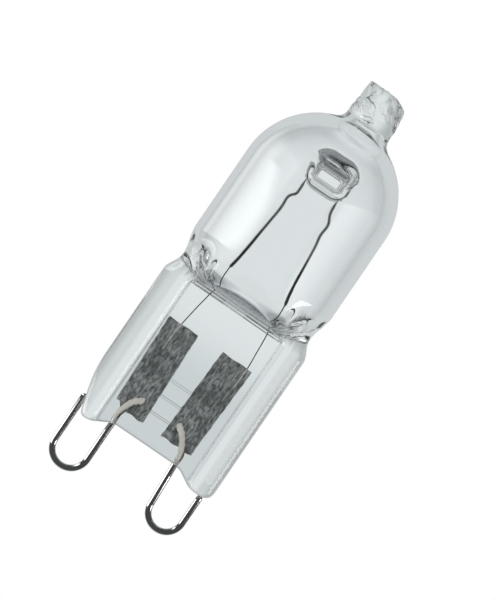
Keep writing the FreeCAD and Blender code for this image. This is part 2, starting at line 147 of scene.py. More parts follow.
@dataclass
class Skin:
    """A closed surface found where a distance field is zero."""

    field: Field
    xs: Array
    ys: Array
    zs: Array
    step: float = 0.004
    settle_rounds: int = 6
    settle_share: float = 0.4
    least_slope: float = 0.05
    least_length: float = 1e-9

    def gradient(self, points: Array) -> Array:
        """The field's slope at some points.

        Args:
            points: one row of three coordinates per point.

        Returns:
            One row of three slopes per point.
        """
        slopes = []
        for axis in range(3):
            move = np.zeros(3)
            move[axis] = self.step
            ahead, behind = points + move, points - move
            slopes.append((self.field(*ahead.T) - self.field(*behind.T)) / (2 * self.step))
        return np.stack(slopes, axis=1)

    def quads(self, inside: Array, cells: Array) -> Array:
        """Four-sided faces round every grid edge that crosses the surface.

        Args:
            inside: whether each grid point lies in the form.
            cells: the vertex number of each grid cell.

        Returns:
            One row of four vertex numbers per face, turned outward.
        """
        faces = []
        for axis in range(3):
            others = [a for a in range(3) if a != axis]
            middle = [slice(1, -1)] * 3
            low, high = list(middle), list(middle)
            low[axis], high[axis] = slice(None, -1), slice(1, None)
            before, after = inside[tuple(low)], inside[tuple(high)]
            ring = []
            for first, second in ((0, 0), (1, 0), (1, 1), (0, 1)):
                pick = [slice(None)] * 3
                pick[others[0]] = slice(first, cells.shape[others[0]] - 1 + first)
                pick[others[1]] = slice(second, cells.shape[others[1]] - 1 + second)
                ring.append(cells[tuple(pick)])
            outward = before & ~after
            inward = ~before & after
            if axis == 1:
                outward, inward = inward, outward
            faces.append(np.stack([corner[outward] for corner in ring], axis=1))
            faces.append(np.stack([corner[inward] for corner in ring[::-1]], axis=1))
        return np.concatenate(faces)

    def crossing_means(self, values: Array, inside: Array) -> tuple[Array, Array]:
        """A first point for every grid cell that the surface passes through.

        Args:
            values: the field at the grid points.
            inside: whether each grid point lies in the form.

        Returns:
            The mask of those cells and their points.
        """
        shape = tuple(n - 1 for n in values.shape)
        total = np.zeros(shape + (3,))
        count = np.zeros(shape)
        places = (self.xs, self.ys, self.zs)
        for axis in range(3):
            others = [a for a in range(3) if a != axis]
            for first in (0, 1):
                for second in (0, 1):
                    start = [0, 0, 0]
                    start[others[0]], start[others[1]] = first, second
                    stop = list(start)
                    stop[axis] = 1
                    low = tuple(slice(s, s + n) for s, n in zip(start, shape))
                    high = tuple(slice(s, s + n) for s, n in zip(stop, shape))
                    cross = inside[low] != inside[high]
                    share = values[low] / np.where(cross, values[low] - values[high], 1.0)
                    for part in range(3):
                        line = places[part][start[part]:start[part] + shape[part]]
                        spot = np.expand_dims(line, [a for a in range(3) if a != part])
                        if part == axis:
                            run = np.diff(places[part])
                            spot = spot + share * np.expand_dims(run, others)
                        total[..., part] += np.where(cross, spot, 0.0)
                    count += cross
        mixed = count > 0
        return mixed, total[mixed] / count[mixed][:, None]

    def mesh_data(self) -> tuple[Array, Array, Array]:
        """Walks the grid, then settles every vertex on the surface.

        Returns:
            The vertices, the faces and the vertex normals.
        """
        grid = np.meshgrid(self.xs, self.ys, self.zs, indexing="ij")
        values = self.field(*grid)
        inside = values < 0
        mixed, points = self.crossing_means(values, inside)
        cells = np.full(mixed.shape, -1)
        cells[mixed] = np.arange(len(points))
        cap = self.settle_share * min(np.diff(places).min() for places in (self.xs, self.ys, self.zs))
        for _ in range(self.settle_rounds):
            slope = self.gradient(points)
            square = np.maximum((slope ** 2).sum(axis=1, keepdims=True), self.least_slope)
            move = -self.field(*points.T)[:, None] * slope / square
            points = points + np.clip(move, -cap, cap)
        slope = self.gradient(points)
        normals = slope / np.maximum(np.linalg.norm(slope, axis=1, keepdims=True), self.least_length)
        return points, self.quads(inside, cells), normals


def mesh_piece(name: str, points: Array, faces: Array, normals: Array | None = None) -> bpy.types.Object:
    """Makes a smooth-shaded object from millimetre points.

    Args:
        name: the piece's name.
        points: one row of three coordinates per vertex.
        faces: vertex numbers, one row per face.
        normals: one row per vertex, where the surface's own slope is known.

    Returns:
        The new object, linked to the scene.
    """
    mesh = bpy.data.meshes.new(name)
    mesh.from_pydata((points * MM).tolist(), [], [list(face) for face in faces])
    mesh.polygons.foreach_set("use_smooth", [True] * len(mesh.polygons))
    if normals is not None:
        mesh.normals_split_custom_set_from_vertices(normals.tolist())
    mesh.update()
    piece = bpy.data.objects.new(name, mesh)
    bpy.context.scene.collection.objects.link(piece)
    return piece


def smooth_line(corners: Sequence[Sequence[float]], spacing: float) -> Array:
    """A smooth line through all the given corners.

    Args:
        corners: the points that the line passes.
        spacing: the distance between the points that come back, in mm.

    Returns:
        One row of three coordinates per point.
    """
    knots = np.asarray(corners, dtype=float)
    padded = np.vstack([2 * knots[0] - knots[1], knots, 2 * knots[-1] - knots[-2]])
    runs = []
    for before, start, end, after in zip(padded, padded[1:], padded[2:], padded[3:]):
        steps = max(2, int(np.linalg.norm(end - start) / spacing))
        t = (np.arange(steps) / steps)[:, None]
        bend = 2 * before - 5 * start + 4 * end - after
        twist = 3 * start - before - 3 * end + after
        runs.append(0.5 * (2 * start + (end - before) * t + bend * t ** 2 + twist * t ** 3))
    runs.append(knots[-1:])
    return np.concatenate(runs)


def swept_wire(line: Array, wide: Array, thick: Array, sides: int) -> tuple[Array, Array]:
    """A closed tube with rounded ends along a line.

    Args:
        line: the middle of the wire, one row per point.
        wide: the half width at each point, across the line and square to Y.
        thick: the half thickness at each point, along Y.
        sides: the number of sides of the tube.

    Returns:
        The vertices and the faces.
    """
    tangents = np.gradient(line, axis=0)
    tangents /= np.linalg.norm(tangents, axis=1, keepdims=True)
    cap_turns = np.radians((80, 60, 40, 20))
    ends = [(line[0] - tangents[0] * wide[0] * math.sin(a), tangents[0], math.cos(a), 0) for a in cap_turns]
    body = [(point, tangent, 1.0, i) for i, (point, tangent) in enumerate(zip(line, tangents))]
    last = len(line) - 1
    ends_after = [(line[-1] + tangents[-1] * wide[-1] * math.sin(a), tangents[-1], math.cos(a), last)
                  for a in cap_turns[::-1]]
    turn = np.linspace(0, 2 * math.pi, sides, endpoint=False)
    across = np.array([0.0, 1.0, 0.0])
    rings = []
    for point, tangent, share, index in ends + body + ends_after:
        across = across - tangent * (across @ tangent)
        across /= np.linalg.norm(across)
        aside = np.cross(across, tangent)
        rings.append(point + share * (np.outer(np.cos(turn) * thick[index], across)
                                      + np.outer(np.sin(turn) * wide[index], aside)))
    points = np.concatenate(rings)
    faces = []
    for ring in range(len(rings) - 1):
        for side in range(sides):
            near, far = ring * sides, (ring + 1) * sides
            beside = (side + 1) % sides
            faces.append((near + side, near + beside, far + beside, far + side))
    top = (len(rings) - 1) * sides
    faces.append(tuple(range(sides))[::-1])
    faces.append(tuple(top + side for side in range(sides)))
    return points, faces


class Nodes:
    """A short hand for building a node tree."""

    def __init__(self, tree: bpy.types.NodeTree) -> None:
        """Keeps the tree and empties it."""
        self.tree = tree
        tree.nodes.clear()

    def add(self, kind: str, **settings: object) -> bpy.types.Node:
        """Adds a node.

        Args:
            kind: the node's type.
            settings: properties to set on it.

        Returns:
            The new node.
        """
        node = self.tree.nodes.new(kind)
        for name, value in settings.items():
            setattr(node, name, value)
        return node

    def feed(self, socket: Socket, value: object) -> None:
        """Links an output to an input, or sets the input's own value.

        Args:
            socket: the input.
            value: an output, or the value to set.
        """
        if isinstance(value, Socket):
            self.tree.links.new(value, socket)
        else:
            socket.default_value = value

    def math(self, operation: str, *values: object) -> Socket:
        """A math node.

        Args:
            operation: its operation.
            values: outputs or numbers for its inputs.

        Returns:
            Its output.
        """
        node = self.add("ShaderNodeMath", operation=operation)
        for socket, value in zip(node.inputs, values):
            self.feed(socket, value)
        return node.outputs[0]

    def ramp(self, value: object, low: float, high: float) -> Socket:
        """A smooth step from 0 at one value to 1 at another.

        Args:
            value: the output that drives it.
            low: where it leaves 0.
            high: where it reaches 1.

        Returns:
            Its output.
        """
        node = self.add("ShaderNodeMapRange", interpolation_type="SMOOTHSTEP")
        for name, given in (("Value", value), ("From Min", low), ("From Max", high)):
            self.feed(node.inputs[name], given)
        return node.outputs["Result"]

    def band(self, value: object, low: float, high: float, soft: float) -> Socket:
        """A mask that is 1 between two values and fades on both sides.

        Args:
            value: the output that drives it.
            low: the lower edge.
            high: the upper edge.
            soft: half the width of each fade.

        Returns:
            The mask.
        """
        rise = self.ramp(value, low - soft, low + soft)
        fall = self.ramp(value, high + soft, high - soft)
        return self.math("MULTIPLY", rise, fall)

    def mix(self, share: object, first: object, second: object) -> Socket:
        """Mixes two colours.

        Args:
            share: how much of the second.
            first: an output or a colour.
            second: an output or a colour.

        Returns:
            The mixed colour.
        """
        node = self.add("ShaderNodeMix", data_type="RGBA")
        for socket, value in ((node.inputs[0], share), (node.inputs[6], first), (node.inputs[7], second)):
            if isinstance(value, tuple) and len(value) == 3:
                value = (*value, 1.0)
            self.feed(socket, value)
        return node.outputs[2]

    def split(self, vector: Socket) -> tuple[Socket, ...]:
        """Takes a vector apart.

        Args:
            vector: the output that gives it.

        Returns:
            Its parts along x, y and z.
        """
        node = self.add("ShaderNodeSeparateXYZ")
        self.feed(node.inputs[0], vector)
        return tuple(node.outputs)

    def turn(self, x: Socket, y: Socket) -> Socket:
        """The direction of a place about the bulb's axis.

        Args:
            x: its place across.
            y: its depth.

        Returns:
            Degrees to the left of the front.
        """
        leftward, forward = self.math("MULTIPLY", x, -1.0), self.math("MULTIPLY", y, -1.0)
        return self.math("DEGREES", self.math("ARCTAN2", leftward, forward))

    def noise(self, place: Socket, scale: object, detail: float, roughness: float = 0.5) -> Socket:
        """A noise texture.

        Args:
            place: where it is read.
            scale: its fineness, an output or a number.
            detail: how many finer layers it has.
            roughness: how strong those are.

        Returns:
            Its value.
        """
        node = self.add("ShaderNodeTexNoise")
        given = {"Vector": place, "Scale": scale, "Detail": detail, "Roughness": roughness}
        for name, value in given.items():
            self.feed(node.inputs[name], value)
        return node.outputs["Fac"]


def new_material(name: str) -> tuple[bpy.types.Material, Nodes]:
    """Starts a material.

    Args:
        name: its name.

    Returns:
        The material and its empty node tree.
    """
    made = bpy.data.materials.new(name)
    made.use_nodes = True
    return made, Nodes(made.node_tree)


def metal_grain_group() -> bpy.types.NodeTree:
    """The fine drawn or rolled grain that all the metals share.

    Returns:
        A node group with a stretch and a size going in, and a streak mask and a height coming out.
    """
    group = bpy.data.node_groups.new("metal_grain", "ShaderNodeTree")
    group.interface.new_socket("Stretch", in_out="INPUT", socket_type="NodeSocketVector")
    group.interface.new_socket("Fineness", in_out="INPUT", socket_type="NodeSocketFloat")
    group.interface.new_socket("Streaks", in_out="OUTPUT", socket_type="NodeSocketFloat")
    group.interface.new_socket("Height", in_out="OUTPUT", socket_type="NodeSocketFloat")
    nodes = Nodes(group)
    given = nodes.add("NodeGroupInput")
    result = nodes.add("NodeGroupOutput")
    place = nodes.add("ShaderNodeTexCoord")
    stretched = nodes.add("ShaderNodeVectorMath", operation="MULTIPLY")
    nodes.feed(stretched.inputs[0], place.outputs["Object"])
    nodes.feed(stretched.inputs[1], given.outputs["Stretch"])
    streak_detail, streak_harshness = 6.0, 0.62
    streak_edges = (0.32, 0.68)
    crumple_detail, crumple_share = 3.0, 0.5
    fineness = given.outputs["Fineness"]
    streaks = nodes.noise(stretched.outputs[0], fineness, streak_detail, streak_harshness)
    crumple = nodes.noise(place.outputs["Object"], fineness, crumple_detail)
    nodes.feed(result.inputs["Streaks"], nodes.ramp(streaks, *streak_edges))
    nodes.feed(result.inputs["Height"], nodes.math("MULTIPLY_ADD", crumple, crumple_share, streaks))
    return group


@dataclass(frozen=True)
class PaintedEdgeShade:
    """Painted shade: a grey laid into the glass's colour where walls stand edge-on to the front, over one
    part of the glass.
    """

    colour: Colour
    heights: Span
    reach: Span
    turned: Span
    fade: float = 0.1

    def mask(self, nodes: Nodes, height: Socket, aside: Socket, edgewise: Socket) -> Socket:
        """Finds where the painted shade lies.

        Args:
            nodes: the glass's nodes.
            height: the height, in metres.
            aside: the distance from the middle, in metres.
            edgewise: how far the wall is turned from the front, from 0 to 1.

        Returns:
            The mask.
        """
        low, high = self.heights
        far, near = self.reach
        level = nodes.band(height, low * MM, high * MM, self.fade * MM)
        spot = nodes.math("MULTIPLY", level, nodes.ramp(aside, far * MM, near * MM))
        return nodes.math("MULTIPLY", spot, nodes.ramp(edgewise, *self.turned))


@dataclass(frozen=True)
class QuartzFinish:
    """Clear fused quartz with the faint ripple of glass that was softened and drawn."""

    tint: Colour = (0.985, 0.992, 0.993)
    web_tint: Colour = (0.79, 0.815, 0.82)
    tint_from: float = 11.8
    tint_to: float = 6.0
    web_edge: float = 4.5
    web_fade: float = 0.4
    refraction: float = 1.458
    ripple_size: float = 420.0
    ripple_detail: float = 1.0
    ripple_height: float = 0.00002
    ripple_strength: float = 0.12
    mottle_size: float = 1100.0
    mottle_detail: float = 2.0
    mottle_height: float = 90.0
    melted_from: float = 31.0
    melted_to: float = 32.4
    melted_roughness: float = 0.1
    # Painted shade in the glass's colour: darker edge-on walls in the dimples by the post and at the shelf
    # under the bulb
    press_painted_shade: PaintedEdgeShade = PaintedEdgeShade((0.22, 0.23, 0.235), (24.4, 27.9), (3.0, 2.7), (0.4, 0.75))
    shelf_painted_shade: PaintedEdgeShade = PaintedEdgeShade((0.44, 0.46, 0.465), (12.7, 14.2), (4.7, 4.4), (0.2, 0.65))

    def material(self) -> bpy.types.Material:
        """Builds the glass.

        Returns:
            The material.
        """
        made, nodes = new_material("fused_quartz")
        shader = nodes.add("ShaderNodeBsdfPrincipled")
        out = nodes.add("ShaderNodeOutputMaterial")
        place = nodes.add("ShaderNodeTexCoord")
        across, _, height = nodes.split(place.outputs["Object"])
        aside = nodes.math("ABSOLUTE", across)
        ripple = nodes.noise(place.outputs["Object"], self.ripple_size, self.ripple_detail)
        mottle = nodes.noise(place.outputs["Object"], self.mottle_size, self.mottle_detail)
        melted = nodes.ramp(height, self.melted_from * MM, self.melted_to * MM)
        swirl = nodes.math("MULTIPLY", nodes.math("MULTIPLY", mottle, melted), self.mottle_height)
        bump = nodes.add("ShaderNodeBump")
        nodes.feed(bump.inputs["Strength"], self.ripple_strength)
        nodes.feed(bump.inputs["Distance"], self.ripple_height)
        nodes.feed(bump.inputs["Height"], nodes.math("ADD", ripple, swirl))
        low = nodes.ramp(height, self.tint_from * MM, self.tint_to * MM)
        middle = nodes.ramp(aside, (self.web_edge + self.web_fade) * MM, self.web_edge * MM)
        colour = nodes.mix(nodes.math("MULTIPLY", low, middle), self.tint, self.web_tint)
        turned = nodes.split(place.outputs["Normal"])[1]
        edgewise = nodes.math("SUBTRACT", 1.0, nodes.math("ABSOLUTE", turned))
        # Painted shade: the glass's colour is greyed where walls at the dimples and the shelf stand edge-on
        # to the front
        for edge in (self.press_painted_shade, self.shelf_painted_shade):
            colour = nodes.mix(edge.mask(nodes, height, aside, edgewise), colour, edge.colour)
        nodes.feed(shader.inputs["Normal"], bump.outputs["Normal"])
        nodes.feed(shader.inputs["Roughness"], nodes.math("MULTIPLY", melted, self.melted_roughness))
        nodes.feed(shader.inputs["Base Color"], colour)
        nodes.feed(shader.inputs["Metallic"], 0.0)
        nodes.feed(shader.inputs["IOR"], self.refraction)
        nodes.feed(shader.inputs["Transmission Weight"], 1.0)
        nodes.feed(out.inputs["Surface"], shader.outputs["BSDF"])
        return made


@dataclass(frozen=True)
class SealedEnd:
    """The dull part of a wire that is sealed in glass, with a painted shade that darkens its right side where
    it has a shade colour.
    """

    colour: Colour
    starts: float
    full: float
    shade: Colour | None = None
    painted_shade_turn: Span = (0.05, 0.55)
    reach: float = 4.6
    streak_share: float = 0.35
    dulling: float = 0.35
    metal_loss: float = 0.8


@dataclass(frozen=True)
class MetalFinish:
    """A bare metal with streaks along its length, and dark patches or a sealed end where it has them."""

    name: str
    dark: Colour
    light: Colour
    smooth: float
    rough: float
    stretch: Colour
    fineness: float
    bump_height: float
    metallic: float = 1.0
    patch_fineness: float = 0.0
    patch_share: float = 0.0
    sealed: SealedEnd | None = None

    def grained(self, nodes: Nodes, grain: bpy.types.NodeTree, fineness: float) -> bpy.types.Node:
        """Adds the shared grain.

        Args:
            nodes: the metal's nodes.
            grain: the shared grain group.
            fineness: how fine it is here.

        Returns:
            The group's node.
        """
        worked = nodes.add("ShaderNodeGroup", node_tree=grain)
        nodes.feed(worked.inputs["Stretch"], self.stretch)
        nodes.feed(worked.inputs["Fineness"], fineness)
        return worked

    def material(self, grain: bpy.types.NodeTree) -> bpy.types.Material:
        """Builds the metal.

        Args:
            grain: the shared grain group.

        Returns:
            The material.
        """
        made, nodes = new_material(self.name)
        shader = nodes.add("ShaderNodeBsdfPrincipled")
        out = nodes.add("ShaderNodeOutputMaterial")
        worked = self.grained(nodes, grain, self.fineness)
        streaks = worked.outputs["Streaks"]
        colour = nodes.mix(streaks, self.dark, self.light)
        if self.patch_share:
            patches = self.grained(nodes, grain, self.patch_fineness)
            patchy = nodes.math("MULTIPLY", patches.outputs["Streaks"], self.patch_share)
            colour = nodes.mix(patchy, colour, self.dark)
        roughness = nodes.math("MULTIPLY_ADD", streaks, self.rough - self.smooth, self.smooth)
        metallic: object = self.metallic
        end = self.sealed
        if end is not None:
            place = nodes.add("ShaderNodeTexCoord")
            across, _, height = nodes.split(place.outputs["Object"])
            near = nodes.math("LESS_THAN", nodes.math("ABSOLUTE", across), end.reach * MM)
            sealed = nodes.math("MULTIPLY", nodes.ramp(height, end.starts * MM, end.full * MM), near)
            streaked = nodes.math("MULTIPLY_ADD", streaks, end.streak_share, 1.0 - end.streak_share)
            colour = nodes.mix(nodes.math("MULTIPLY", sealed, streaked), colour, end.colour)
            # Painted shade: the sealed end's right-facing side is darkened by its normal
            if end.shade is not None:
                turned = nodes.split(place.outputs["Normal"])[0]
                painted_shade_mask = nodes.math("MULTIPLY", sealed, nodes.ramp(turned, *end.painted_shade_turn))
                colour = nodes.mix(painted_shade_mask, colour, end.shade)
            roughness = nodes.math("MULTIPLY_ADD", sealed, end.dulling, roughness)
            metallic = nodes.math("MULTIPLY_ADD", sealed, -end.metal_loss, self.metallic)
        bump = nodes.add("ShaderNodeBump")
        nodes.feed(bump.inputs["Distance"], self.bump_height * MM)
        nodes.feed(bump.inputs["Height"], worked.outputs["Height"])
        nodes.feed(shader.inputs["Normal"], bump.outputs["Normal"])
        nodes.feed(shader.inputs["Base Color"], colour)
        nodes.feed(shader.inputs["Roughness"], roughness)
        nodes.feed(shader.inputs["Metallic"], metallic)
        nodes.feed(out.inputs["Surface"], shader.outputs["BSDF"])
        return made


QUARTZ = QuartzFinish()
# The loops' sealed ends carry a painted shade on their right side
LOOP_STEEL = MetalFinish(
    "drawn_loop_wire", dark=(0.56, 0.55, 0.53), light=(0.6, 0.59, 0.565), smooth=0.12, rough=0.14,
    stretch=(1.0, 1.0, 0.12), fineness=6000.0, bump_height=0.00001,
    sealed=SealedEnd((0.9, 0.86, 0.77), starts=0.1, full=0.6, shade=(0.13, 0.12, 0.105)))
FOIL_METAL = MetalFinish(
    "crinkled_foil", dark=(0.085, 0.092, 0.09), light=(0.64, 0.675, 0.66), smooth=0.3, rough=0.5,
    stretch=(1.0, 1.0, 0.4), fineness=5200.0, bump_height=0.02, metallic=0.5,
    patch_fineness=1100.0, patch_share=0.75)
TUNGSTEN = MetalFinish(
    "tungsten_wire", dark=(0.03, 0.03, 0.032), light=(0.08, 0.08, 0.08), smooth=0.35, rough=0.5,
    stretch=(1.0, 1.0, 1.0), fineness=9000.0, bump_height=0.002,
    sealed=SealedEnd((0.8, 0.8, 0.78), starts=9.7, full=9.5))


@dataclass
class QuartzCapsule:
    """The glass: a round bulb with a melted-off tip and a post, pressed flat below into the pinch."""

    # The bulb, the shelf under it and the narrow waist
    bulb_radius: float = 6.6
    wall: float = 1.0
    dome_height: float = 24.2
    shelf_height: float = 13.4
    shelf_radius: float = 4.6
    shelf_rounding: float = 1.2
    shelf_climb: float = 2.0
    climb_sides: Span = (4.0, 6.6)
    press_play: float = 0.8
    shoulder_fillet: float = 0.7
    waist_depth: float = 0.085
    waist_heights: tuple[float, float, float] = (12.5, 14.25, 16.8)
    drawn_heights: Span = (12.6, 16.8)
    drawn_sides: Span = (3.5, 5.2)
    # The pinch with its beads, ridges and feet
    pinch_half_width: float = 6.8
    pinch_top: float = 17.0
    web: float = 1.5
    bead_radius: float = 1.9
    bead_fall: float = 0.3
    bead_rounding: float = 0.9
    bead_seam: float = 0.2
    flank: float = 0.4
    ridge_heights: tuple[float, ...] = (2.44, 3.94, 5.42)
    ridge_half_width: float = 1.5
    ridge_radius: float = 0.11
    ridge_sink: float = 0.03
    ridge_seam: float = 0.05
    foot_drop: float = 1.0
    foot_start: float = 3.2
    foot_run: float = 1.75
    foot_corner: float = 1.0
    edge_rounding: float = 0.25
    sole_rounding: float = 0.3
    underside_rounding: float = 0.35
    taper_top: Span = (-6.8, 2.6)
    taper_foot: Span = (-5.86, -0.48)
    taper_rounding: float = 0.5
    # The post and the dimples at its two ends
    post_shift: float = 0.18
    post_height: float = 25.8
    post_half: Span = (1.45, 1.05)
    post_rounding: float = 0.7
    post_flare: float = 0.5
    dimple_half: Span = (1.12, 0.52)
    dimple_rounding: float = 0.3
    dimple_web: float = 0.65
    dimple_edge: float = 0.15
    dimple_flare: float = 1.1
    press_slope: float = 2.0
    top_lean: float = 2.2
    lean_heights: Span = (0.1, 1.2)
    rim_rounding: float = 0.14
    rim_lean: Span = (-0.4, 0.92)
    rim_middle: float = 0.2
    # The melted tip
    tip_shift: float = 0.33
    tip_radius: float = 2.1
    tip_taper: float = 0.06
    tip_foot: float = 27.0
    tip_foot_rounding: float = 0.2
    tip_root: float = 30.0
    tip_top: float = 34.2
    tip_slant: float = 0.19
    tip_ease: float = 0.98
    tip_rounding: float = 0.7
    neck_fillet: float = 0.7
    melted_heights: Span = (30.4, 32.6)
    melt_twist: float = 0.5
    melt_waves: tuple[float, float, float, float] = (0.1, 0.06, 0.03, 0.045)
    # The chamber with its bore and its bubble
    chamber_floor: float = 13.95
    chamber_radius: float = 4.0
    floor_rounding: float = 1.3
    floor_half_width: float = 4.4
    chamber_side_height: float = 15.4
    side_play: float = 0.1
    side_rounding: float = 0.6
    follow_sides: Span = (3.4, 4.6)
    follow_heights: Span = (19.0, 17.0)
    bore_top: float = 31.1
    bore_fillet: float = 1.9
    bore_rounding: float = 0.3
    bore_wave: float = 0.12
    bubble: tuple[float, float, float] = (0.05, -0.4, 31.5)
    bubble_half: tuple[float, float, float] = (0.52, 0.13, 0.24)
    # The folded slot over the seal
    slot_floor: float = 12.75
    slot_half_width: float = 4.45
    slot_half_depth: float = 0.25
    slot_spread: float = 0.75
    slot_ease: float = 0.7
    slot_overlap: float = 0.4
    slot_rounding: float = 0.3
    slot_end_rounding: float = 0.5
    slot_seam: float = 0.25
    slot_fold: float = 0.08
    slot_fold_pitch: float = 0.5
    fold_drift: float = 0.5
    fold_drift_rate: float = 0.6

    def rounded_foot(self, y: Array, z: Array, depth: float, floor: float, radius: float) -> Array:
        """Distances to a long trough that is open above and round along its two lower edges.

        Args:
            y: depths.
            z: heights.
            depth: half of its depth.
            floor: the height of its floor.
            radius: the radius of its lower edges.

        Returns:
            The distances.
        """
        return corner_distance(np.abs(y) - depth + radius, floor + radius - z) - radius

    def round_form(self, x: Array, y: Array, z: Array, radius: float) -> Array:
        """Distances to a tube with a domed top."""
        above = np.maximum(z - self.dome_height, 0.0)
        return np.sqrt(x ** 2 + y ** 2 + above ** 2) - radius

    def bulb(self, x: Array, y: Array, z: Array) -> Array:
        """Distances to the outside of the round bulb with its pressed foot.

        Args:
            x: places across.
            y: depths.
            z: heights.

        Returns:
            The distances.
        """
        form = self.round_form(x, y, z, self.bulb_radius)
        climb = self.shelf_climb * smooth_step(np.abs(x), *self.climb_sides)
        depth = self.bulb_radius + self.press_play
        foot = self.rounded_foot(y, z - climb, depth, self.shelf_height, self.shelf_radius)
        return smooth_max(form, foot, self.shelf_rounding)

    def waist(self, z: Array) -> Array:
        """The share of its full width that the glass has, less than 1 where the bulb meets the pinch."""
        low, middle, high = self.waist_heights
        return 1.0 - self.waist_depth * smooth_step(z, low, middle) * smooth_step(z, high, middle)

    def underside(self, wide: Array, z: Array) -> Array:
        """Distances to the pinch's underside, which drops to a foot at each side.

        Args:
            wide: distances from the middle.
            z: heights.

        Returns:
            The distances.
        """
        drop = (wide - self.foot_start) / self.foot_run * self.foot_drop
        slope = -(z + drop) / math.hypot(1.0, self.foot_drop / self.foot_run)
        return smooth_max(smooth_min(-z, slope, self.edge_rounding), -self.foot_drop - z, self.sole_rounding)

    def pinch(self, x: Array, y: Array, z: Array) -> Array:
        """Distances to the flat seal with its two beads, feet and corners.

        Args:
            x: places across.
            y: depths.
            z: heights.

        Returns:
            The distances.
        """
        wide, deep = np.abs(x), np.abs(y)
        brow = self.pinch_half_width - self.bead_radius
        face = (deep - self.bead_radius + self.bead_fall * (wide - brow)) / math.hypot(1.0, self.bead_fall)
        round_bead = smooth_max(face, wide - self.pinch_half_width, self.bead_rounding)
        rise = self.bead_radius - self.web
        flank = (deep - self.web) * self.flank - (wide - brow + self.flank) * rise
        bead = smooth_max(round_bead, flank / math.hypot(self.flank, rise), self.bead_seam)
        form = smooth_min(np.maximum(deep - self.web, wide - brow), bead, self.bead_seam)
        ends = np.maximum(wide - self.ridge_half_width, 0.0)
        for height in self.ridge_heights:
            ridge = np.sqrt(ends ** 2 + (y - self.web + self.ridge_sink) ** 2 + (z - height) ** 2)
            form = smooth_min(form, ridge - self.ridge_radius, self.ridge_seam)
        form = smooth_max(form, self.underside(wide, z), self.underside_rounding)
        run, fall = self.taper_foot[0] - self.taper_top[0], self.taper_top[1] - self.taper_foot[1]
        taper = (-(x - self.taper_top[0]) * fall - (z - self.taper_top[1]) * run) / math.hypot(run, fall)
        form = smooth_max(form, taper, self.taper_rounding)
        form = smooth_max(form, z - self.pinch_top, self.edge_rounding)
        aside = x - self.pinch_half_width + self.foot_corner
        below = -z - self.foot_drop + self.foot_corner
        return smooth_max(form, corner_distance(aside, below) - self.foot_corner, self.edge_rounding)

    def pressed(self, x: Array, y: Array, z: Array, half: Span, rounding: float,
                foot: float) -> Array:
        """Distances to a rounded rectangle that widens from a depth outward to the front and back.

        Args:
            x: places across.
            y: depths.
            z: heights.
            half: its half width and half height at its foot.
            rounding: its corners' radius at its foot.
            foot: the depth of its foot.

        Returns:
            The distances.
        """
        lean = 1.0 + self.top_lean * smooth_step(z - self.post_height, *self.lean_heights)
        grow = math.tan(math.radians(self.press_slope)) * (np.abs(y) - foot) * lean
        core_x = np.abs(x - self.post_shift) - half[0] + rounding
        core_z = np.abs(z - self.post_height) - half[1] + rounding
        flat = corner_distance(core_x, core_z) - rounding
        return (flat - grow) * math.cos(math.radians(self.press_slope))

    def flare(self, x: Array, z: Array) -> Array:
        """How widely the dimples' rims are rounded: most on the upper left, least below.

        Args:
            x: places across.
            z: heights.

        Returns:
            Shares from 0 to 1.
        """
        out_x, out_z = x - self.post_shift, z - self.post_height
        reach = np.maximum(np.hypot(out_x, out_z), self.rim_middle)
        return smooth_step((out_x * self.rim_lean[0] + out_z * self.rim_lean[1]) / reach, 0.0, 1.0)

    def tip(self, x: Array, y: Array, z: Array) -> Array:
        """Distances to the stub where the exhaust tube was melted off.

        Args:
            x: places across.
            y: depths.
            z: heights.

        Returns:
            The distances.
        """
        swell, ripple, fine, swirl = self.melt_waves
        turn = self.melt_twist * (z - self.tip_root)
        # The numbers in the sines set how closely each wave runs, in radians per mm, and where it starts
        wave = (swell * np.sin(1.5 * x + 1.3 * turn + 0.4) * np.sin(1.4 * y - 0.8 + turn)
                + ripple * np.sin(2.9 * x - 1.4 * y + 1.9 * z) + fine * np.sin(4.4 * x + 2.6 * z + 3.2 * y)
                + swirl * np.sin(5.2 * x + 3.4 * z + np.sin(3.1 * z)) * np.sin(4.1 * z - 2.2 * x + 1.5 * y))
        melted = smooth_step(z, *self.melted_heights)
        radius = self.tip_radius - self.tip_taper * (z - self.tip_root)
        side = np.hypot(x - self.tip_shift, y) - radius
        top = (z - self.tip_top + self.tip_slant * x) * self.tip_ease
        form = smooth_max(side, top, self.tip_rounding)
        return smooth_max(form + wave * melted, self.tip_foot - z, self.tip_foot_rounding)

    def shell(self, x: Array, y: Array, z: Array) -> Array:
        """Distances to the bulb and the pinch, drawn into one another at the sides.

        Args:
            x: places across.
            y: depths.
            z: heights.

        Returns:
            The distances.
        """
        wide = x / self.waist(z)
        pinch = self.pinch(wide, y, z)
        form = smooth_min(self.bulb(wide, y, z), pinch, self.shoulder_fillet)
        tube = self.round_form(wide, y, z, self.bulb_radius)
        drawn = pinch + (tube - pinch) * smooth_step(z, *self.drawn_heights)
        return form + (drawn - form) * smooth_step(np.abs(wide), *self.drawn_sides)

    def outside(self, x: Array, y: Array, z: Array) -> Array:
        """Distances to the outside of the glass, dimples included.

        Args:
            x: places across.
            y: depths.
            z: heights.

        Returns:
            The distances.
        """
        form = smooth_min(self.shell(x, y, z), self.tip(x, y, z), self.neck_fillet)
        dimple = self.pressed(x, y, z, self.dimple_half, self.dimple_rounding, self.dimple_web)
        dimple = smooth_max(dimple, self.dimple_web - np.abs(y), self.dimple_edge)
        return smooth_max(form, -dimple, self.rim_rounding + self.dimple_flare * self.flare(x, z))

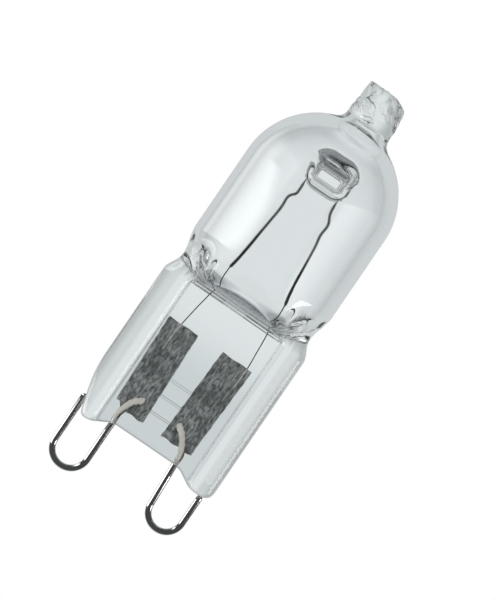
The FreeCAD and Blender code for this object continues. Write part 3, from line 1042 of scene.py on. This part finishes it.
    def slot(self, x: Array, y: Array, z: Array) -> Array:
        """Distances to the folded slot over the seal.

        Args:
            x: places across.
            y: depths.
            z: heights.

        Returns:
            The distances.
        """
        waves = (z - self.slot_floor) * 2 * math.pi / self.slot_fold_pitch
        fold = self.slot_fold * np.sin(waves + self.fold_drift * np.sin(self.fold_drift_rate * x))
        flank = np.abs(y) - self.slot_half_depth - (z - self.slot_floor) * self.slot_spread - fold
        form = smooth_max(flank * self.slot_ease, self.slot_floor - z, self.slot_rounding)
        ends = np.maximum(np.abs(x) - self.slot_half_width, z - self.chamber_floor - self.slot_overlap)
        return smooth_max(form, ends, self.slot_end_rounding)

    def chamber(self, x: Array, y: Array, z: Array) -> Array:
        """Distances to the space inside, from the slot over the seal to the closed bore and its bubble.

        Args:
            x: places across.
            y: depths.
            z: heights.

        Returns:
            The distances.
        """
        inner = self.bulb_radius - self.wall
        neck = np.hypot(x - self.tip_shift, y) - self.tip_radius
        form = smooth_min(self.round_form(x, y, z, self.bulb_radius), neck, self.bore_fillet) + self.wall
        uneven = self.bore_wave * np.sin(2.3 * x + 0.7) * np.cos(1.9 * y)
        form = smooth_max(form, z - self.bore_top - uneven, self.bore_rounding)
        foot = self.rounded_foot(y, z, inner + self.press_play, self.chamber_floor, self.chamber_radius)
        form = smooth_max(form, foot, self.floor_rounding)
        rise = self.chamber_side_height - self.chamber_floor
        run = inner + self.side_play - self.floor_half_width
        side = (np.abs(x) - self.floor_half_width) * rise - (z - self.chamber_floor) * run
        form = smooth_max(form, side / math.hypot(rise, run), self.side_rounding)
        corner = smooth_step(np.abs(x), *self.follow_sides) * smooth_step(z, *self.follow_heights)
        follow = np.maximum(form, self.shell(x, y, z) + self.wall)
        form = smooth_min(form + (follow - form) * corner, self.slot(x, y, z), self.slot_seam)
        reach = [(place - middle) / half
                 for place, middle, half in zip((x, y, z), self.bubble, self.bubble_half)]
        form = np.minimum(form, (np.sqrt(sum(part ** 2 for part in reach)) - 1) * min(self.bubble_half))
        post = self.pressed(x, y, z, self.post_half, self.post_rounding, 0.0)
        return smooth_max(form, -post, self.rim_rounding + self.post_flare * self.flare(x, z))

    def build(self) -> bpy.types.Object:
        """Meshes the outside and the chamber and joins them into one piece of glass.

        Returns:
            The glass.
        """
        # Where each stretch of a grid ends and how fine it is
        sides = ((-3.4, 0.22), (3.4, 0.15), (7.1, 0.22))
        depths = ((-2.3, 0.24), (2.3, 0.14), (6.9, 0.24))
        heights = ((2.0, 0.22), (5.9, 0.08), (12.2, 0.26), (15.4, 0.16), (22.4, 0.3), (29.0, 0.15),
                   (34.9, 0.14))
        outer = Skin(self.outside, graded(sides, -7.1), graded(depths, -6.9), graded(heights, -1.4))
        sides = ((-3.4, 0.22), (3.4, 0.16), (5.9, 0.22))
        depths = ((-2.0, 0.24), (2.0, 0.14), (5.9, 0.24))
        heights = ((14.5, 0.07), (16.9, 0.13), (22.4, 0.3), (29.6, 0.16), (32.2, 0.1))
        inner = Skin(self.chamber, graded(sides, -5.9), graded(depths, -5.9), graded(heights, 12.4))
        points, faces, normals = outer.mesh_data()
        inner_points, inner_faces, inner_normals = inner.mesh_data()
        faces = np.concatenate([faces, inner_faces[:, ::-1] + len(points)])
        return mesh_piece("capsule_glass", np.concatenate([points, inner_points]), faces,
                          np.concatenate([normals, -inner_normals]))

    def dress(self, glass: bpy.types.Object) -> None:
        """Gives the glass its finish and its place in the frame.

        Args:
            glass: the glass.
        """
        glass.data.materials.append(QUARTZ.material())
        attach(glass, "root")
        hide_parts("quartz_envelope")


@dataclass
class CoiledFilament:
    """One tungsten wire: a tail in each foil, a coiled leg above it and a bare hanger over the post."""

    left_tail: Corners = (
        (-3.22, 7.12), (-3.12, 9.12), (-2.84, 11.2), (-2.6, 12.6), (-2.42, 14.06), (-2.36, 15.34))
    left_coil: Corners = (
        (-2.36, 15.6), (-2.1, 17.84), (-2.0, 18.98), (-1.86, 20.38), (-1.74, 21.8), (-1.78, 22.6))
    left_hook: Corners = (
        (-1.7, 23.0), (-1.38, 23.36), (-1.33, 23.8), (-1.36, 24.78), (-1.36, 26.5), (-0.95, 27.1))
    right_hook: Corners = (
        (1.31, 27.1), (1.71, 26.5), (1.68, 24.78), (1.69, 24.1), (1.8, 23.45), (2.06, 22.95))
    right_coil: Corners = (
        (2.14, 22.5), (2.08, 21.7), (2.26, 20.66), (2.44, 18.98), (2.62, 17.08), (2.79, 15.6))
    right_tail: Corners = (
        (2.78, 15.34), (2.86, 14.16), (3.06, 12.6), (3.2, 10.82), (3.28, 9.58), (3.24, 7.78))
    wire_radius: float = 0.045
    coil_radius: float = 0.1
    tight_pitch: float = 0.1
    open_pitch: float = 0.17
    coil_foot: float = 15.45
    foot_fade: float = 0.25
    coil_head: float = 24.75
    head_fade: float = 0.5
    open_from: float = 17.6
    open_to: float = 20.2
    lead_height: float = 9.4
    lead_run: float = 0.3
    lead_sink: float = 0.02
    spacing: float = 0.01
    bare_stride: int = 8
    sides: int = 7

    def middle_line(self) -> Array:
        """The smooth line that the coil winds about.

        Returns:
            Points close together along it.
        """
        corners = (self.left_tail + self.left_coil + self.left_hook + self.right_hook + self.right_coil
                   + self.right_tail)
        return smooth_line([(x, 0.0, z) for x, z in corners], self.spacing)

    def build(self) -> bpy.types.Object:
        """Winds the wire along its line.

        Returns:
            The filament.
        """
        line = self.middle_line()
        height = line[:, 2]
        steps = np.linalg.norm(np.diff(line, axis=0, prepend=line[:1]), axis=1)
        wound = np.clip((height - self.coil_foot) / self.foot_fade, 0, 1)
        wound = wound * np.clip((self.coil_head - height) / self.head_fade, 0, 1)
        opened = np.clip((height - self.open_from) / (self.open_to - self.open_from), 0, 1)
        pitch = self.tight_pitch + (self.open_pitch - self.tight_pitch) * opened
        turn = np.cumsum(2 * math.pi * steps / pitch * (wound > 0))
        tangent = np.gradient(line, axis=0)
        tangent /= np.linalg.norm(tangent, axis=1, keepdims=True)
        depth = np.array([0.0, 1.0, 0.0])
        aside = np.cross(tangent, depth)
        radius = (self.coil_radius * wound)[:, None]
        wire = line + radius * (np.cos(turn)[:, None] * aside + np.sin(turn)[:, None] * depth)
        lead = np.clip((self.lead_height - height) / self.lead_run, 0, 1)[:, None]
        wire = wire - self.lead_sink * lead * depth
        wire = wire[(wound > 0) | (np.arange(len(wire)) % self.bare_stride == 0)]
        size = np.full(len(wire), self.wire_radius)
        points, faces = swept_wire(wire, size, size, self.sides)
        return mesh_piece("coiled_filament", points, faces)

    def dress(self, wire: bpy.types.Object, grain: bpy.types.NodeTree) -> None:
        """Gives the filament its finish and its place in the frame.

        Args:
            wire: the filament.
            grain: the shared grain group.
        """
        wire.data.materials.append(TUNGSTEN.material(grain))
        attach(wire, "root")
        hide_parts("tungsten_filament")


@dataclass
class SealFoil:
    """A thin foil pressed flat in the glass, wrinkled by the sealing."""

    side: Side
    head: Span
    foot: Span
    torn_corner: float = 0.0
    torn_side: Span = (0.55, 0.8)
    torn_end: Span = (0.14, 0.04)
    half_width: float = 1.43
    thickness: float = 0.03
    front: float = 0.03
    fine_wrinkle: float = 0.004
    broad_wrinkle: float = 0.012
    weld_crease: float = 0.09
    crease_reach: float = 2.2
    coarse_rag: float = 0.012
    fine_rag: float = 0.01
    foot_wave: float = 0.05
    head_wave: float = 0.03
    columns: int = 40
    rows: int = 110

    def wrinkle(self, across: Array, along: Array) -> Array:
        """How far the sheet stands off its plane.

        Args:
            across: places over the width, in mm.
            along: places over the length, in mm.

        Returns:
            The depths in mm.
        """
        seed = 1.7 * self.side.value
        curl = 9.1 * across + 2.3 * np.sin(1.9 * along + seed)
        fine = self.fine_wrinkle * np.sin(curl) * np.sin(2.7 * along + 4.0 * across)
        broad = np.sin(2.2 * across + 0.9 * along + seed) * np.sin(1.4 * along - 1.6 * across)
        near_weld = np.exp(-(along / self.crease_reach) ** 2)
        crease = near_weld * np.sin(5.2 * across - 2.8 * along + seed) * np.cos(3.6 * along + seed)
        return fine + self.broad_wrinkle * broad + self.weld_crease * crease

    def build(self) -> bpy.types.Object:
        """Makes the sheet as a thin closed solid.

        Returns:
            The foil.
        """
        u = np.linspace(-1, 1, self.columns + 1)[:, None]
        v = np.linspace(0, 1, self.rows + 1)[None, :]
        length = self.head[1] - self.foot[1]
        rag = self.coarse_rag * np.sin(23.0 * v + self.side.value) + self.fine_rag * np.sin(61.0 * v)
        middle = self.foot[0] + (self.head[0] - self.foot[0]) * v
        across = u * (self.half_width + rag) + 0 * v
        (inward, outward), (above, below) = self.torn_side, self.torn_end
        torn = np.clip((-u - inward) / (outward - inward), 0, 1)
        torn = torn * np.clip((above - v) / (above - below), 0, 1)
        ends = self.foot_wave * np.sin(7 * u) * (1 - v) + self.head_wave * np.sin(5 * u) * v
        along = length * v + self.torn_corner * torn + ends
        depth = self.front + self.thickness / 2 + self.wrinkle(across, along)
        front = np.stack([middle + across, depth - self.thickness / 2, self.foot[1] + along], axis=-1)
        back = front + np.array([0.0, self.thickness, 0.0])
        count = front.shape[0] * front.shape[1]
        points = np.concatenate([front.reshape(-1, 3), back.reshape(-1, 3)])
        number = np.arange(count).reshape(front.shape[:2])
        corners = (number[:-1, :-1], number[1:, :-1], number[1:, 1:], number[:-1, 1:])
        sheet = np.stack(corners, axis=-1).reshape(-1, 4)
        rim = np.concatenate([number[:, 0], number[-1, 1:], number[-2::-1, -1], number[0, -2:0:-1]])
        beside = np.roll(rim, -1)
        edge = np.stack([beside, rim, rim + count, beside + count], axis=-1)
        faces = np.concatenate([sheet, sheet[:, ::-1] + count, edge])
        return mesh_piece(f"seal_foil_{self.side.word}", points, faces)

    def dress(self, foil: bpy.types.Object, metal: bpy.types.Material) -> None:
        """Gives the foil its finish and its place in the frame.

        Args:
            foil: the foil.
            metal: its material.
        """
        foil.data.materials.append(metal)
        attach(foil, "root")
        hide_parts(f"molybdenum_foil_{self.side.word}")


@dataclass
class ContactLoop:
    """A wire bent into a loop, its inner end flattened and welded to the foil."""

    side: Side
    outer: float
    inner_bend: float
    inner_top: float
    bottom: float
    end_height: float
    weld: Corners
    wire_radius: float = 0.27
    weld_half_width: float = 0.29
    weld_half_thickness: float = 0.12
    weld_depth: float = -0.09
    weld_run: float = 1.5
    weld_spacing: float = 0.06
    pressed_heights: Span = (0.6, 1.8)
    coarse_rag: float = 0.07
    fine_rag: float = 0.05
    leg_points: int = 14
    arc_points: int = 49
    sides: int = 28

    def line(self) -> Array:
        """The middle of the wire from its free end to its weld.

        Returns:
            One row of three coordinates per point.
        """
        radius = abs(self.outer - self.inner_bend) / 2
        middle = (self.outer + self.inner_bend) / 2
        bend = self.bottom + self.wire_radius + radius
        leg = np.linspace(self.end_height, bend, self.leg_points)[:-1]
        down = np.stack([np.full_like(leg, self.outer), 0 * leg, leg], axis=1)
        turn = np.linspace(0, math.pi, self.arc_points)
        sign = math.copysign(1.0, self.outer - middle)
        across, height = middle + sign * radius * np.cos(turn), bend - radius * np.sin(turn)
        arc = np.stack([across, 0 * turn, height], axis=1)
        halfway = (self.inner_bend + self.inner_top) / 2
        up = [(self.inner_bend, 0.0, bend), (halfway, 0.0, bend / 2), (self.inner_top, 0.0, 0.0)]
        seal = [(x, self.weld_depth * min(1.0, z / self.weld_run), z) for x, z in self.weld]
        return np.concatenate([down, arc[:-1], smooth_line(up + seal, self.weld_spacing)])

    def build(self) -> bpy.types.Object:
        """Sweeps the wire and presses its sealed end flat.

        Returns:
            The loop.
        """
        line = self.line()
        order = np.arange(len(line))
        pressed = smooth_step(line[:, 2], *self.pressed_heights) * (order > len(line) / 2)
        ragged = pressed * (self.coarse_rag * np.sin(order * 0.9) + self.fine_rag * np.sin(order * 2.3))
        wide = (self.wire_radius + (self.weld_half_width - self.wire_radius) * pressed) * (1 + ragged)
        thick = self.wire_radius + (self.weld_half_thickness - self.wire_radius) * pressed
        points, faces = swept_wire(line, wide, thick, self.sides)
        return mesh_piece(f"loop_wire_{self.side.word}", points, faces)

    def dress(self, wire: bpy.types.Object, metal: bpy.types.Material) -> None:
        """Gives the loop its finish and its place in the frame.

        Args:
            wire: the loop.
            metal: its material.
        """
        wire.data.materials.append(metal)
        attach(wire, "root")
        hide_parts(f"contact_loop_{self.side.word}")


@dataclass
class Studio:
    """A white room with a bright card on the left, a narrow one on the right, a pale floor and the camera."""

    # What is seen behind the bulb and through it
    background: Colour = (1.0, 1.0, 1.0)
    seen_through: Colour = (0.765, 0.805, 0.81)
    seen_left: Colour = (0.44, 0.465, 0.47)
    seen_right: Colour = (0.52, 0.55, 0.555)
    seen_steep: Colour = (0.46, 0.482, 0.486)
    side_change: Span = (0.25, -0.25)
    bent_angles: Span = (3.0, 32.0)
    steep_rise: Span = (9.0, 38.0)
    # What is mirrored outside and inside the glass
    card: Colour = (0.09, 0.095, 0.1)
    backdrop: Colour = (0.6, 0.63, 0.64)
    backdrop_turn: Span = (112.0, 138.0)
    inner_card: Colour = (0.5, 0.52, 0.525)
    inner_steep: Colour = (0.4, 0.415, 0.42)
    inner_steep_rise: Span = (18.0, 50.0)
    inner_window: Colour = (2.2, 2.2, 2.2)
    inner_window_near: Span = (42.0, 54.0)
    inner_window_far: Span = (118.0, 56.0)
    inner_window_rise: tuple[float, float, float] = (-30.0, 30.0, 13.0)
    # The two cards, in degrees to the left of the front and in mm
    card_radius: float = 46.0
    card_columns: int = 33
    window: Colour = (5.8, 5.8, 5.8)
    window_turn: Span = (30.0, 126.0)
    window_heights: Span = (-16.0, 60.0)
    window_edge: float = 42.0
    upper_swing: float = 34.0
    upper_swing_heights: Span = (20.5, 29.0)
    lower_swing: float = 18.0
    lower_swing_heights: Span = (18.5, 15.0)
    near_fade: Span = (-8.0, 16.0)
    far_fade: Span = (124.0, 112.0)
    bulb_fade: Span = (13.6, 16.0)
    loop_fade: Span = (-0.8, -3.0)
    top_fade: Span = (56.0, 30.0)
    dim_turn: Span = (122.0, 60.0)
    dim_share: float = 0.35
    strip: Colour = (5.5, 5.5, 5.5)
    strip_turn: Span = (-86.0, -64.0)
    strip_heights: Span = (-1.5, 12.8)
    # The floor
    floor_light: Colour = (1.12, 1.12, 1.12)
    floor_paint: Colour = (0.9, 0.9, 0.9)
    floor_roughness: float = 0.9
    floor_height: float = -33.0
    floor_radius: float = 160.0
    floor_corners: int = 128
    # The camera and how far light is followed
    lean: float = 34.3
    aim: Span = (0.2, 14.16)
    distance: float = 600.0
    frame_height: float = 48.0
    sensor: float = 36.0
    clip: Span = (0.01, 10.0)
    bounces: int = 24
    glossy_bounces: int = 12

    def light(self) -> None:
        """Builds the light that comes from all round, by direction."""
        world = bpy.data.worlds.new("studio_light")
        bpy.context.scene.world = world
        world.use_nodes = True
        world.cycles.sampling_method = "NONE"
        nodes = Nodes(world.node_tree)
        place = nodes.add("ShaderNodeTexCoord")
        x, y, z = nodes.split(place.outputs["Generated"])
        turn = nodes.turn(x, y)
        rise = nodes.math("DEGREES", nodes.math("ARCSINE", z))
        upright = nodes.math("ABSOLUTE", rise)
        behind = nodes.ramp(nodes.math("ABSOLUTE", turn), *self.backdrop_turn)
        mirrored = nodes.mix(behind, self.card, self.backdrop)
        steep = nodes.ramp(upright, *self.inner_steep_rise)
        inner = nodes.mix(behind, nodes.mix(steep, self.inner_card, self.inner_steep), self.backdrop)
        near, far = nodes.ramp(turn, *self.inner_window_near), nodes.ramp(turn, *self.inner_window_far)
        opening = nodes.math("MULTIPLY", near, far)
        opening = nodes.math("MULTIPLY", opening, nodes.band(rise, *self.inner_window_rise))
        inner = nodes.mix(opening, inner, self.inner_window)
        path = nodes.add("ShaderNodeLightPath")
        inside = nodes.math("GREATER_THAN", path.outputs["Transmission Depth"], 0.5)
        mirrored = nodes.mix(inside, mirrored, inner)
        aside = nodes.mix(nodes.ramp(x, *self.side_change), self.seen_right, self.seen_left)
        bent = nodes.math("DEGREES", nodes.math("ARCCOSINE", nodes.math("ABSOLUTE", y)))
        through = nodes.mix(nodes.ramp(bent, *self.bent_angles), self.seen_through, aside)
        through = nodes.mix(nodes.ramp(upright, *self.steep_rise), through, self.seen_steep)
        colour = nodes.mix(nodes.math("GREATER_THAN", path.outputs["Glossy Depth"], 0.5), through, mirrored)
        gathered = nodes.math("GREATER_THAN", path.outputs["Diffuse Depth"], 0.5)
        colour = nodes.mix(gathered, colour, self.floor_light)
        colour = nodes.mix(path.outputs["Is Camera Ray"], colour, self.background)
        light = nodes.add("ShaderNodeBackground")
        out = nodes.add("ShaderNodeOutputWorld")
        nodes.feed(light.inputs["Color"], colour)
        nodes.feed(out.inputs["Surface"], light.outputs[0])

    def floor(self) -> None:
        """Lays a pale round floor below the bulb, outside the photograph's frame."""
        turn = np.linspace(0, 2 * math.pi, self.floor_corners, endpoint=False)
        edge = np.stack([np.cos(turn), np.sin(turn), 0 * turn], axis=1) * self.floor_radius
        edge[:, 2] = self.floor_height
        disc = mesh_piece("floor", edge, [tuple(range(len(edge)))])
        paint = bpy.data.materials.new("pale_floor")
        paint.use_nodes = True
        shader = paint.node_tree.nodes["Principled BSDF"]
        shader.inputs["Base Color"].default_value = (*self.floor_paint, 1.0)
        shader.inputs["Roughness"].default_value = self.floor_roughness
        shader.inputs["Specular IOR Level"].default_value = 0.0
        disc.data.materials.append(paint)
        disc.visible_glossy = False
        disc.visible_transmission = False

    def glow(self, name: str) -> tuple[bpy.types.Material, Nodes, Socket]:
        """Starts the material of a card that gives out light.

        Args:
            name: its name.

        Returns:
            The material, its nodes and the input for its colour.
        """
        made, nodes = new_material(name)
        light = nodes.add("ShaderNodeEmission")
        out = nodes.add("ShaderNodeOutputMaterial")
        nodes.feed(out.inputs["Surface"], light.outputs[0])
        return made, nodes, light.inputs["Color"]

    def curved_card(self, name: str, turn: Span, heights: Span, glow: bpy.types.Material) -> None:
        """Hangs a curved card that only reflections show.

        Args:
            name: the card's name.
            turn: where it starts and ends, in degrees to the left of the front.
            heights: its lower and upper edge.
            glow: what it gives out.
        """
        turns = np.radians(np.linspace(*turn, self.card_columns))
        across, depth = -np.sin(turns) * self.card_radius, -np.cos(turns) * self.card_radius
        low, high = (np.stack([across, depth, np.full_like(turns, height)], axis=1) for height in heights)
        count = len(turns)
        faces = [(i, i + 1, count + i + 1, count + i) for i in range(count - 1)]
        card = mesh_piece(name, np.concatenate([low, high]), faces)
        card.data.materials.append(glow)
        card.visible_camera = False
        card.visible_diffuse = False
        card.visible_transmission = False
        card.visible_shadow = False

    def strip_card(self) -> None:
        """Hangs a narrow card on the right, which draws the pale line along the left bead."""
        glow, nodes, colour = self.glow("strip_glow")
        nodes.feed(colour, (*self.strip, 1.0))
        self.curved_card("strip_card", self.strip_turn, self.strip_heights, glow)

    def window_card(self) -> None:
        """Hangs a bright card on the left, near enough to light the bulb but not the pinch."""
        glow, nodes, colour = self.glow("window_glow")
        place = nodes.add("ShaderNodeTexCoord")
        x, y, z = nodes.split(place.outputs["Object"])
        turn = nodes.turn(x, y)
        height = nodes.math("DIVIDE", z, MM)
        upper = nodes.ramp(height, *self.upper_swing_heights)
        lower = nodes.ramp(height, *self.lower_swing_heights)
        edge = nodes.math("MULTIPLY_ADD", upper, self.upper_swing, self.window_edge)
        edge = nodes.math("MULTIPLY_ADD", lower, self.lower_swing, edge)
        near = nodes.ramp(nodes.math("SUBTRACT", turn, edge), *self.near_fade)
        far, top = nodes.ramp(turn, *self.far_fade), nodes.ramp(height, *self.top_fade)
        bulb, loops = nodes.ramp(height, *self.bulb_fade), nodes.ramp(height, *self.loop_fade)
        dim = nodes.ramp(turn, *self.dim_turn)
        shape = nodes.math("MULTIPLY", near, far)
        shape = nodes.math("MULTIPLY", shape, nodes.math("ADD", bulb, loops))
        shape = nodes.math("MULTIPLY", shape, top)
        dimmed = nodes.math("MULTIPLY_ADD", dim, 1.0 - self.dim_share, self.dim_share)
        shape = nodes.math("MULTIPLY", shape, dimmed)
        nodes.feed(colour, nodes.mix(shape, self.card, self.window))
        self.curved_card("window_card", self.window_turn, self.window_heights, glow)

    def camera(self) -> None:
        """Sets a long lens at the photograph's angle, with the bulb leaning to the right."""
        lens = bpy.data.cameras.new("camera")
        lens.lens = self.sensor * self.distance / self.frame_height
        lens.sensor_width = self.sensor
        lens.clip_start, lens.clip_end = self.clip
        camera = bpy.data.objects.new("camera", lens)
        lean = math.radians(self.lean)
        right = (math.cos(lean), 0.0, math.sin(lean))
        up = (-math.sin(lean), 0.0, math.cos(lean))
        spot = (self.aim[0] * MM, -self.distance * MM, self.aim[1] * MM)
        rows = [(right[i], up[i], (0.0, -1.0, 0.0)[i], spot[i]) for i in range(3)]
        camera.matrix_world = Matrix([*rows, (0.0, 0.0, 0.0, 1.0)])
        bpy.context.scene.collection.objects.link(camera)
        bpy.context.scene.camera = camera

    def build(self) -> None:
        """Sets up the room, the camera and how light and colour are carried."""
        self.light()
        self.floor()
        self.window_card()
        self.strip_card()
        self.camera()
        scene = bpy.context.scene
        scene.view_settings.view_transform = "Standard"
        scene.cycles.max_bounces = self.bounces
        scene.cycles.transmission_bounces = self.bounces
        scene.cycles.glossy_bounces = self.glossy_bounces


def main() -> None:
    """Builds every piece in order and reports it."""
    logging.basicConfig(level=logging.INFO, format="%(name)s: %(message)s")
    Studio().build()
    grain = metal_grain_group()
    capsule = QuartzCapsule()
    glass = capsule.build()
    capsule.dress(glass)
    filament = CoiledFilament()
    wire = filament.build()
    filament.dress(wire, grain)
    pieces = [glass, wire]
    foil_metal = FOIL_METAL.material(grain)
    for foil in (SealFoil(Side.LEFT, head=(-2.86, 9.6), foot=(-2.6, 1.3), torn_corner=0.45),
                 SealFoil(Side.RIGHT, head=(2.33, 9.6), foot=(2.02, 1.3))):
        sheet = foil.build()
        foil.dress(sheet, foil_metal)
        pieces.append(sheet)
    loop_metal = LOOP_STEEL.material(grain)
    for loop in (ContactLoop(Side.LEFT, outer=-6.27, inner_bend=-3.2, inner_top=-3.2, bottom=-5.42,
                             end_height=0.42, weld=((-3.22, 0.9), (-2.8, 2.15), (-2.16, 2.76))),
                 ContactLoop(Side.RIGHT, outer=5.95, inner_bend=3.0, inner_top=2.8, bottom=-5.34,
                             end_height=-1.15, weld=((2.74, 1.0), (2.08, 2.2), (1.42, 2.76)))):
        bent = loop.build()
        loop.dress(bent, loop_metal)
        pieces.append(bent)
    for piece in pieces:
        log.info("%s: %d faces", piece.name, len(piece.data.polygons))


if __name__ == "__main__":
    main()
